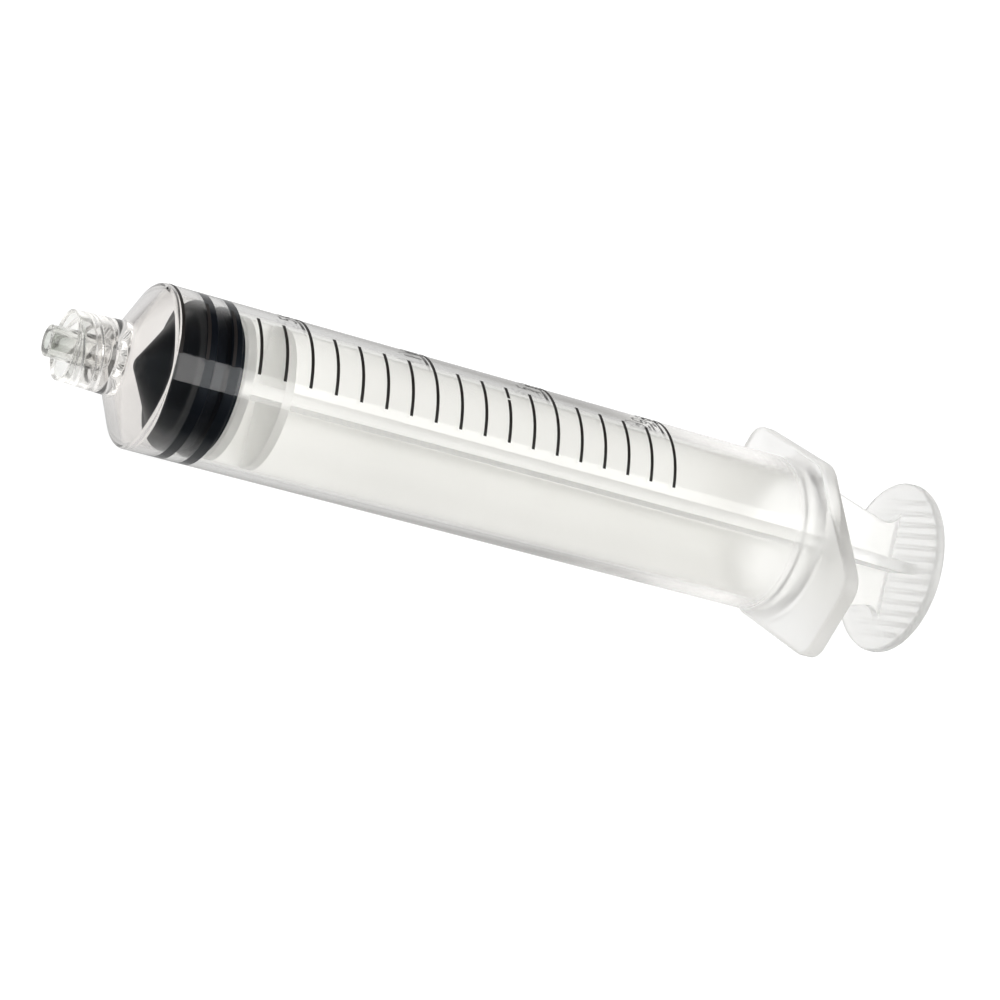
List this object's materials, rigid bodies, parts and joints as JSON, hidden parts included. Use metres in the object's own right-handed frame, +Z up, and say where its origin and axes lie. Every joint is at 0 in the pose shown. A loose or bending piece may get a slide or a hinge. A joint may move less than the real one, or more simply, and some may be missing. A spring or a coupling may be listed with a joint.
{
  "type": "luer lock syringe",
  "caption": "Disposable luer lock syringe: clear graduated barrel with lock collar and hexagonal finger flange, rubber stopper and cross-vaned plunger rod.",
  "frame": {"origin": "centre of the luer tip's end face, on the syringe's axis", "axes": "+X along the axis from the luer tip towards the thumb press, +Z up from the surface that the syringe lies on"},
  "size_m": [0.1251, 0.0392, 0.0236],
  "materials": {
    "clear_plastic": "clear, gloss",
    "print_ink": "matt ink film",
    "black_rubber": "smooth, faintly glossy",
    "translucent_plastic": "milky, satin"
  },
  "bodies": {
    "barrel": {"barrel": "clear_plastic", "graduation_marks": "print_ink"},
    "stopper": {"stopper": "black_rubber"},
    "plunger_rod": {"plunger_rod": "translucent_plastic"}
  },
  "joints": [
    {"name": "plunger_slide", "type": "slide", "parent": "barrel", "child": "stopper", "axis": [1, 0, 0], "range_m": [-0.0033, 0.081]},
    {"name": "rod_turn", "type": "hinge", "parent": "stopper", "child": "plunger_rod", "pos_m": [0.0222, 0, 0], "axis": [1, 0, 0], "continuous": true}
  ]
}
